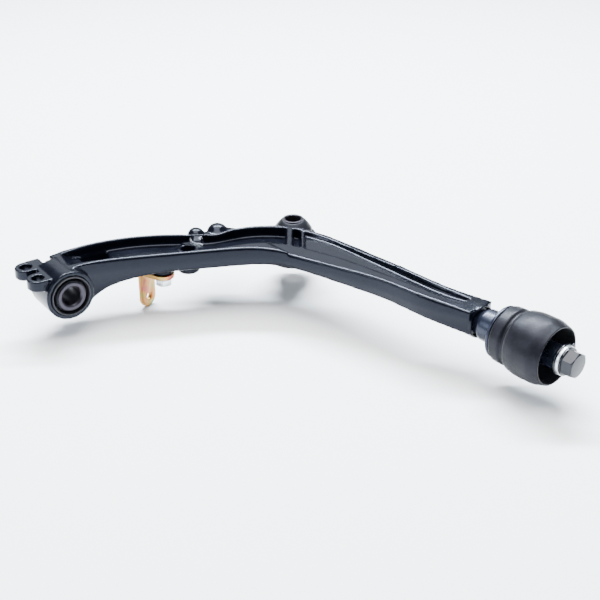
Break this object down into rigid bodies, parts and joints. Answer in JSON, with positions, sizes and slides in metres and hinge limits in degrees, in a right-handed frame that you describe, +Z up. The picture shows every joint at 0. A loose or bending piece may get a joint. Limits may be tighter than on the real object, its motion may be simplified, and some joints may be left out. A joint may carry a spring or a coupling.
{
  "type": "suspension control arm",
  "caption": "Black forged suspension control arm with a bent channel section, a bush eye, an upright pivot bush, a rear barrel bush and a small plated bracket.",
  "frame": {"origin": "centre of the upright front pivot bush", "axes": "+X along the pivot axis towards the rear barrel bush, +Z up, +Y away from the outer eye"},
  "size_m": [0.409, 0.2669, 0.07],
  "materials": {
    "black_paint": "semi-gloss",
    "rubber": "matte",
    "bush_steel": "satin",
    "sleeve_steel": "satin",
    "neck_steel": "semi-gloss",
    "zinc": "satin",
    "black_zinc": "satin",
    "gold_zinc": "satin"
  },
  "bodies": {
    "arm": {"arm_forging": "black_paint", "outer_bush_shell": "bush_steel", "outer_bush_rubber": "rubber", "front_bush_shell": "bush_steel", "front_bush_rubber": "rubber", "rear_bush_sleeve": "neck_steel", "rear_back_disc": "neck_steel", "rear_stop_washer": "neck_steel", "rear_washer": "zinc", "rear_bolt": "black_zinc", "link_bracket": "gold_zinc", "bracket_lock_washer": "zinc", "bracket_bolt": "zinc"},
    "outer_pivot": {"outer_bush_sleeve": "sleeve_steel"},
    "front_pivot": {"front_bush_sleeve": "sleeve_steel"},
    "rear_pivot": {"rear_bush_rubber": "rubber", "rear_bush_ring": "bush_steel"}
  },
  "joints": [
    {"name": "outer_bush_twist", "type": "hinge", "parent": "arm", "child": "outer_pivot", "pos_m": [-0.0608, -0.2088, -0.003], "axis": [0.9907, -0.1357, 0], "range_deg": [-25, 25], "stiffness_Nm_per_rad": 60},
    {"name": "rear_bush_twist", "type": "hinge", "parent": "arm", "child": "rear_pivot", "pos_m": [0.2215, 0, 0], "axis": [1, 0, 0], "range_deg": [-14, 14], "stiffness_Nm_per_rad": 60},
    {"name": "front_bush_tilt", "type": "hinge", "parent": "arm", "child": "front_pivot", "pos_m": [0, 0, 0], "axis": [1, 0, 0], "range_deg": [-14, 14], "stiffness_Nm_per_rad": 40, "deforming": ["front_bush_rubber"]}
  ],
  "couplings": [
    {"joint": "front_bush_tilt", "follows": "rear_bush_twist", "ratio": 1}
  ]
}
